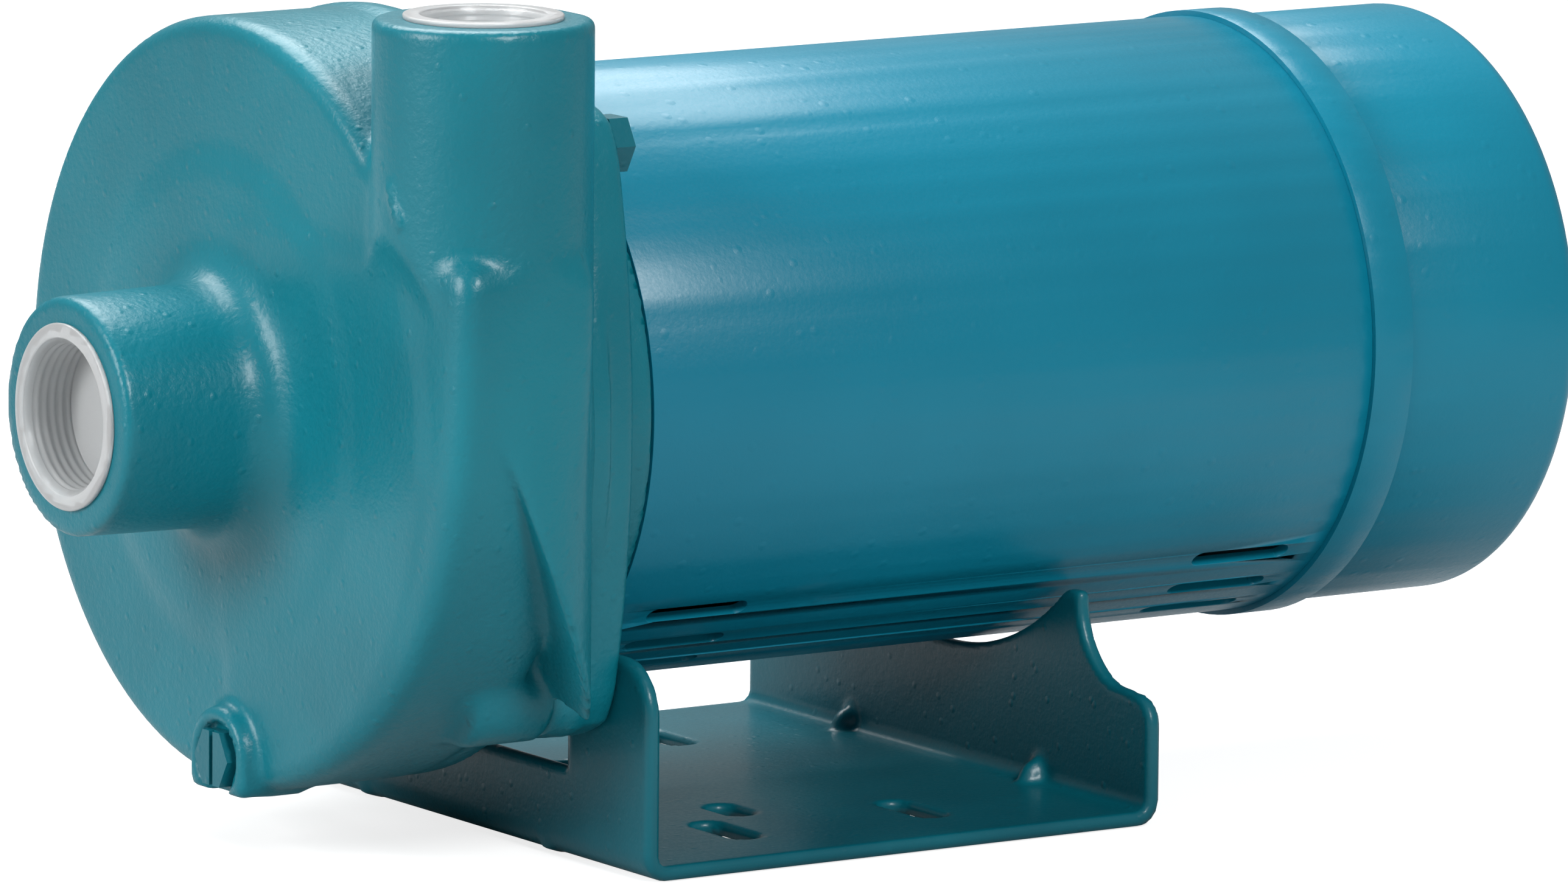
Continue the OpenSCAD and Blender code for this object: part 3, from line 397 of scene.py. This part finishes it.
def casingField(x, y, z):
    c = casing
    r = np.hypot(y, z)
    back = bracketLow[0] + 7
    face = back - c["length"]
    # round body with soft front edge
    body = roundedDisc(x, r, face, back - 1, c["frontR"], c["edge"])
    # scroll: radius grows by a power law of the angle below the discharge side
    below = np.degrees(np.arctan2(-z, np.maximum(-y, 1e-3)))
    grow = np.clip((90 - below) / 90, 0, 1) ** 1.5
    lift = c["sideSwell"] * (1 - (1 - np.clip(z, 0, 45) / 45) ** 2)
    rim = np.where(z < 0, r - (c["frontR"] + c["swell"] * grow), -y - (c["frontR"] + c["swell"] + lift))
    wing = smoothMeet(rim, z - 52, 10)
    wing = smoothMeet(wing, y, 6)
    wing = smoothMeet(wing, np.abs(x - (face + back - c["flange"]) / 2) - (back - c["flange"] - face) / 2, 8)
    solid = smoothUnion(body, wing, 3)
    # shallow dome and fillet around the suction boss
    dome = smoothMeet(face - c["domeRise"] * np.clip(1 - (r / c["domeR"]) ** 2, -1, 1) - x, r - c["domeR"], 9)
    solid = smoothUnion(solid, np.maximum(dome, x - face - 5), 5)
    boss = roundedDisc(x, r - 0.02 * np.clip(x - suctionX, 0, 50), suctionX, face + 5, c["bossR"], 1.6)
    solid = smoothUnion(solid, boss, c["bossFillet"])
    # discharge pipe: its foot ends in a ridge that sags towards the outside, and its underside
    # runs back from there into the scroll's face
    px, py = x - pipeX, y - pipeY
    pipe = np.hypot(px, py) - c["pipeR"]
    outward = np.clip(20 - py, 0, 60)
    ridge = c["ridgeTop"] - 0.12 * outward - 0.003 * outward ** 2
    underside = (ridge - c["undersideSlope"] * (px + c["pipeR"]) - z) / math.hypot(1, c["undersideSlope"])
    pipe = smoothMeet(pipe, underside, 1.6)
    pipe = smoothMeet(pipe, z - pipeTop, 2.5)
    core = smoothMeet(np.hypot(px, py) - c["coreR"], np.abs(z - 48) - 26, 8)
    solid = smoothUnion(solid, core, 4)
    solid = smoothUnion(solid, pipe, c["pipeFillet"])
    # flash left along the mould's parting line
    along = np.clip((68.5 - z) / 8.5, 0, 1)
    flash = np.sqrt((px + c["pipeR"] - 0.2) ** 2 + (py + 1 + 4.5 * along) ** 2
                    + (z - 68.5 + 8.5 * along) ** 2)
    solid = smoothUnion(solid, flash - 1.5, 1)
    # back flange, bolt lugs and drain pad
    solid = smoothUnion(solid, roundedDisc(x, r, back - c["flange"], back, c["frontR"] + 0.6, 1.5), 2.5)
    lugAt = c["boltCircle"] * math.sqrt(0.5)
    lug = np.hypot(np.abs(y) - lugAt, np.abs(z) - lugAt)
    solid = smoothUnion(solid, roundedDisc(x, lug, back - c["lugLength"], back, c["lugR"], 2.5), 5)
    dy = np.abs(y - c["padY"])
    arch = np.where(z > c["padZ"], np.hypot(dy, z - c["padZ"]), dy) - c["padR"]
    arch = smoothMeet(arch, -z - c["frontR"] - 1, 3)
    pad = smoothMeet(arch, np.abs(x - face - 4) - c["padRise"] - 4, 2.5)
    solid = smoothUnion(solid, pad, 3.5)
    # openings
    fromPad = np.hypot(y - c["padY"], z - c["padZ"])
    recess = np.maximum(fromPad - c["recessR"], x - (face - c["padRise"] + 3.2))
    solid = smoothCut(solid, recess, 1.2)
    drain = np.maximum(fromPad - c["drainR"], x - face - 5)
    solid = np.maximum(solid, -drain)
    solid = np.maximum(solid, x - back)
    solid = smoothCut(solid, np.maximum(r - c["suctionBore"], x - suctionX - c["boreDepth"]), 1.2)
    solid = np.maximum(solid, -np.maximum(r - c["throatR"], x - face - 20))
    drop = pipeTop - c["boreDepth"]
    solid = smoothCut(solid, np.maximum(np.hypot(px, py) - c["dischargeBore"], drop - z), 1.2)
    solid = np.maximum(solid, -np.maximum(np.hypot(px, py) - c["pipeThroatR"], -z))
    drum = r - c["frontR"] + c["wall"]
    scroll = np.maximum(np.minimum(rim + c["wall"], drum), 0)
    wet = np.where((y < 0) & (z < 42), scroll, drum)
    chamber = np.maximum(wet, np.maximum(face + c["wall"] - x, x - (back - 7)))
    solid = np.maximum(solid, -chamber)
    solid = np.maximum(solid, -np.maximum(r - c["backR"], back - 8 - x))
    holes = np.maximum(lug - c["boltR"], back - 20 - x)
    return np.maximum(solid, -holes)


def buildCasing():
    low = [casingLow[0] - 2, casingLow[1] - 4, casingLow[2] - shaftZ - 4]
    high = [casingHigh[0] + 4, casingHigh[1] + 4, casingHigh[2] - shaftZ + 4]
    points, faces = fieldSurface(casingField, low, high, casing["step"])
    box = np.array([casingLow, casingHigh]) - [0, 0, shaftZ]
    points = np.clip(points, box[0], box[1])
    piece = addPiece("casing", standOnShaft(points), faces, "housing", paint["casting"])
    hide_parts("volute_casing")
    print("casing:", len(faces), "faces")


# ---------- front bracket ----------

bracket = {
    "half": 92, "sideArc": 330, "reach": 113.7, "plate": 14, "gap": 6, "registerR": 88,
    "lugR": 10, "rim": 11.3, "hubR": 27, "boltHole": 5.16, "bearingR": 20.04, "step": 1.8,
    "ringR": 74.5, "spigotR": 76.9, "ribInner": 26, "ribOuter": 76, "ribHalf": 2.5,
}


def bracketField(x, y, z):
    b = bracket
    r = np.hypot(y, z)
    front = plateBack - b["plate"]
    centre = b["sideArc"] - b["half"]
    # plate outline: four long arcs, with the corners cut back by a circle
    sides = np.maximum(np.hypot(np.abs(y) + centre, z), np.hypot(y, np.abs(z) + centre)) - b["sideArc"]
    outline = smoothMeet(sides, r - b["reach"], 5)
    solid = smoothMeet(outline, np.abs(x - (front + plateBack) / 2) - b["plate"] / 2, 4)
    solid = smoothUnion(solid, roundedDisc(x, r, front - b["gap"], front + 4, b["registerR"] + 8, 1), 3)
    solid = np.minimum(solid, roundedDisc(x, r, bracketLow[0], front, b["registerR"] - 0.05, 0.6))
    lugAt = casing["boltCircle"] * math.sqrt(0.5)
    lug = np.hypot(np.abs(y) - lugAt, np.abs(z) - lugAt)
    solid = smoothUnion(solid, roundedDisc(x, lug, front - b["gap"], front + 4, b["lugR"], 1), 3)
    rimEnd = plateBack + b["rim"]
    ring = np.maximum(roundedDisc(x, r, plateBack - 4, rimEnd, shellR, 0.8), b["ringR"] - r)
    solid = smoothUnion(solid, ring, 4)
    spigot = np.maximum(np.abs(r - b["spigotR"]) - 2.5, np.abs(x - rimEnd) - 6)
    solid = np.minimum(solid, spigot)
    hub = roundedDisc(x, r, plateBack - 4, plateBack + 20, b["hubR"], 1)
    solid = smoothUnion(solid, hub, 4)
    angle = np.arctan2(z, y)
    rib = np.abs(r * np.sin(np.mod(angle + np.pi / 6, np.pi / 3) - np.pi / 6)) - b["ribHalf"]
    reach = np.maximum(b["ribInner"] - r, r - b["ribOuter"])
    rib = np.maximum(rib, np.maximum(reach, np.abs(x - plateBack - 5) - 5))
    solid = np.minimum(solid, rib)
    solid = np.maximum(solid, -np.maximum(r - 22, x - bracketLow[0] - 12))
    solid = np.maximum(solid, -np.maximum(r - 15.94, x - bracketLow[0] - 20))
    solid = np.maximum(solid, 10 - r)
    solid = np.maximum(solid, -np.maximum(r - 17, np.abs(x - plateBack) - 4))
    solid = np.maximum(solid, -np.maximum(r - b["bearingR"], plateBack + 7 - x))
    return np.maximum(solid, b["boltHole"] - lug)


def buildBracket():
    low = [bracketLow[0] - 3, bracketLow[1] - 4, bracketLow[2] - shaftZ - 4]
    high = [bracketHigh[0] + 4, bracketHigh[1] + 4, bracketHigh[2] - shaftZ + 4]
    points, faces = fieldSurface(bracketField, low, high, bracket["step"])
    box = np.array([bracketLow, bracketHigh]) - [0, 0, shaftZ]
    points = np.clip(points, box[0], box[1])
    piece = addPiece("bracket", standOnShaft(points), faces, "housing", paint["casting"])
    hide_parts("front_bracket")
    print("bracket:", len(faces), "faces")


# ---------- sheet base ----------

baseSheet = {
    "thick": 4, "bendR": 3, "shoulder": 34.8, "earTop": 58.5, "dip": 25, "saddleR": 84.3,
    "hornCutR": 22.7, "hornCutY": 87, "hornCutZ": -63, "hornTop": -61.6, "step": 1.5,
    "slots": ((-34, 61.9, 26), (26, 61.9, 26), (-17, 38, 17)), "slotWidth": 9.5,
    "dartY": 46, "dartR": 5,
}


def roundedBox2d(u, v, halfWidth, top, corner):
    # distance to a wide box that ends at top, with rounded upper corners
    du = np.abs(u) - (halfWidth - corner)
    dv = v - (top - corner)
    return np.hypot(np.maximum(du, 0), np.maximum(dv, 0)) + np.minimum(np.maximum(du, dv), 0) - corner


def baseField(x, y, h):
    # h is the height above the underside; the sheet is a band around its own middle line
    b = baseSheet
    z = h - shaftZ
    length = baseHigh[0] - baseLow[0]
    width = (baseHigh[1] - baseLow[1]) / 2
    t = b["thick"]
    bend = b["bendR"] + t
    ax = np.abs(x)
    corner = np.abs(np.hypot(ax - (length / 2 - bend), h - bend) - (bend - t / 2))
    middle = np.where(ax < length / 2 - bend, np.abs(h - t / 2),
                      np.where(h < bend, corner, np.abs(ax - (length - t) / 2)))
    sheet = middle - t / 2
    # stiffening dents across the bends
    dart = np.hypot(ax - (length / 2 - t - 1), h - t - 1)
    dart = np.hypot(dart, (np.abs(y) - b["dartY"]) * 1.6) - b["dartR"]
    dart = smoothMeet(dart, ax - (length / 2 - 1.5), 1)
    sheet = smoothUnion(sheet, np.maximum(dart, 1.5 - h), 3)
    rear = roundedBox2d(y, h, width, b["shoulder"], 8)
    horn = np.maximum(np.abs(y) - b["hornCutY"], z - b["hornTop"])
    horn = smoothCut(horn, np.hypot(np.abs(y) - b["hornCutY"], z - b["hornCutZ"]) - b["hornCutR"], 1.5)
    rear = smoothUnion(rear, np.maximum(horn, b["shoulder"] - 12 - h), 2)
    rear = smoothCut(rear, np.hypot(y, z) - b["saddleR"], 2)
    front = roundedBox2d(y, h, width, b["earTop"], 15)
    front = smoothCut(front, np.hypot(y, z) - b["saddleR"], 2)
    front = smoothCut(front, np.maximum(np.abs(y) - 58, b["dip"] - h), 6)
    solid = smoothMeet(sheet, np.where(x > 0, rear, front), 1.6)
    for sx, sy, slotLength in b["slots"]:
        reach = np.maximum(np.abs(np.abs(y) - sy) - (slotLength - b["slotWidth"]) / 2, 0)
        hole = np.hypot(x - sx, reach) - b["slotWidth"] / 2
        solid = smoothCut(solid, np.maximum(hole, h - 12), 1.2)
    lugAt = casing["boltCircle"] * math.sqrt(0.5)
    bolt = np.maximum(np.hypot(np.abs(y) - lugAt, z + lugAt) - 5.16, x)
    return np.maximum(solid, -bolt)


def buildBase():
    low = [v - 3 for v in baseLow]
    high = [v + 3 for v in baseHigh]
    points, faces = fieldSurface(baseField, low, high, baseSheet["step"])
    points = np.clip(points, baseLow, baseHigh)
    piece = addPiece("baseSheet", points * mm, faces, "housing", paint["sheet"])
    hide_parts("base")
    print("base:", len(faces), "faces")


# ---------- port plugs ----------

plugs = {
    "suction": {"flangeR": 24.85, "cupR": 20.9, "depth": 14, "flange": 1.3, "wall": 1.1},
    "discharge": {"flangeR": 21.0, "cupR": 16.5, "depth": 12, "flange": 1.3, "wall": 1.1},
}


def plugProfile(p, threads):
    # outline of flange and cup as (height, radius); the thread is a row of low waves on the wall
    step = np.linspace(0, 1, 60)
    wave = 0.17 * np.sin(step * threads * 2 * np.pi)
    draft = 0.75 * step
    wallTop, wallLow = -0.8, -p["depth"] + 1.6
    heights = wallTop + (wallLow - wallTop) * step
    outer = np.stack([heights, p["cupR"] - 0.3 - draft + wave], 1)
    inner = np.stack([heights, p["cupR"] - 0.3 - p["wall"] - draft + wave], 1)[::-1]
    bend = np.linspace(0, np.pi / 2, 7)
    rim = np.stack([p["flange"] - 0.5 + 0.5 * np.sin(bend), p["flangeR"] - 0.5 + 0.5 * np.cos(bend)], 1)
    mouth = np.stack([p["flange"] - 0.6 + 0.6 * np.cos(bend), p["cupR"] + 0.5 - 0.6 * np.sin(bend)], 1)
    lowOut = p["cupR"] - 1.05
    foot = np.array([[-p["depth"] + 0.5, lowOut - 0.3], [-p["depth"], lowOut - 1.1], [-p["depth"], 0.01]])
    floor = np.array([[-p["depth"] + p["wall"], 0.01], [-p["depth"] + p["wall"], lowOut - 2.4],
                      [-p["depth"] + p["wall"] + 0.5, lowOut - 1.5]])
    ledge = np.array([[0, p["cupR"] - 0.1], [0, p["flangeR"] - 0.15]])
    return np.concatenate([outer[::-1], ledge, rim, mouth, inner[::-1], floor[::-1], foot[::-1]])


def fixFaces(piece):
    # all faces outwards
    work = bmesh.new()
    work.from_mesh(piece.data)
    bmesh.ops.remove_doubles(work, verts=work.verts, dist=0.00002)
    bmesh.ops.recalc_face_normals(work, faces=work.faces)
    work.to_mesh(piece.data)
    work.free()


def buildPlug(name, p, node, body, threads):
    profile = plugProfile(p, threads)
    points, faces = revolved(profile, 120)
    if name == "suctionPlug":
        points = points * [-1, 1, 1] + [suctionX, 0, shaftZ]
    else:
        points = points[:, [1, 2, 0]] + [pipeX, pipeY, pipeTop + shaftZ]
    piece = addPiece(name, points * mm, faces, body, clearPlug)
    fixFaces(piece)
    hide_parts(node)


buildCasing()
buildBracket()
buildBase()
buildPlug("suctionPlug", plugs["suction"], "suction_cap", "suction_plug", 5)
buildPlug("dischargePlug", plugs["discharge"], "discharge_cap", "discharge_plug", 4)

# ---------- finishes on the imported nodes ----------

slotOf = {s["node"]: s["material_slot"] for s in frame["record"]["subparts"]}
rounded = {"motor_shell": 0.5, "rear_bell": 0.7, "rear_cover": 0.4, "casing_bolts": 0.5, "drain_plug": 0.5}
for nodeName, node in frame["nodes"].items():
    material = finish.get(slotOf[nodeName])
    if material:
        node.data.materials.clear()
        node.data.materials.append(material)
    if nodeName in rounded:
        weld = node.modifiers.new("weld", "WELD")
        weld.merge_threshold = 0.00001
        bevel = node.modifiers.new("bevel", "BEVEL")
        bevel.width = rounded[nodeName] * mm
        bevel.segments = 2
        bevel.limit_method = "ANGLE"
        bevel.angle_limit = math.radians(40)
        bevel.harden_normals = True

# ---------- floor and light ----------

studio = {
    "world": 0.27,
    "floor": (0.45, 0.45, 0.45),
    "glow": 0.78,
    "lamps": (
        ("topBox", (0.1, 0.9, 1.7), (0, 0, 0.1), 1.5, 52),
        ("leftBox", (-2.2, 0.2, 1.0), (-0.1, 0, 0.1), 1.0, 40),
        ("frontBox", (-0.3, -2.6, 1.9), (0, 0, 0.1), 0.9, 62),
    ),
}


def addLamp(name, place, target, size, power):
    lamp = bpy.data.lights.new(name, "AREA")
    lamp.energy = power
    lamp.size = size
    holder = bpy.data.objects.new(name, lamp)
    bpy.context.scene.collection.objects.link(holder)
    away = Vector(place) - Vector(target)
    holder.matrix_world = Matrix.Translation(place) @ away.to_track_quat("Z", "Y").to_matrix().to_4x4()


def addStudio():
    world = bpy.data.worlds.new("studio")
    bpy.context.scene.world = world
    world.use_nodes = True
    nodes, links = world.node_tree.nodes, world.node_tree.links
    background = nodes["Background"]
    path = nodes.new("ShaderNodeLightPath")
    level = nodes.new("ShaderNodeMapRange")
    level.inputs["To Min"].default_value = studio["world"]
    level.inputs["To Max"].default_value = 1
    links.new(path.outputs["Is Camera Ray"], level.inputs["Value"])
    links.new(level.outputs["Result"], background.inputs["Strength"])
    background.inputs["Color"].default_value = (1, 1, 1, 1)
    corners = np.array([[-6, -6, 0], [6, -6, 0], [6, 6, 0], [-6, 6, 0]], dtype=float)
    mesh = bpy.data.meshes.new("floor")
    mesh.from_pydata(corners.tolist(), [], [(0, 1, 2, 3)])
    floor = bpy.data.objects.new("floor", mesh)
    bpy.context.scene.collection.objects.link(floor)
    material, nodes, links, shader = newMaterial("floorPaper")
    shader.inputs["Base Color"].default_value = (*studio["floor"], 1)
    shader.inputs["Roughness"].default_value = 0.9
    shader.inputs["Specular IOR Level"].default_value = 0
    shader.inputs["Emission Color"].default_value = (1, 1, 1, 1)
    path = nodes.new("ShaderNodeLightPath")
    glow = nodes.new("ShaderNodeMath")
    glow.operation = "MULTIPLY"
    glow.inputs[1].default_value = studio["glow"]
    links.new(path.outputs["Is Camera Ray"], glow.inputs[0])
    links.new(glow.outputs["Value"], shader.inputs["Emission Strength"])
    mesh.materials.append(material)
    for lamp in studio["lamps"]:
        addLamp(*lamp)


addStudio()
bpy.context.scene.view_settings.view_transform = "Standard"
print("studio ready")
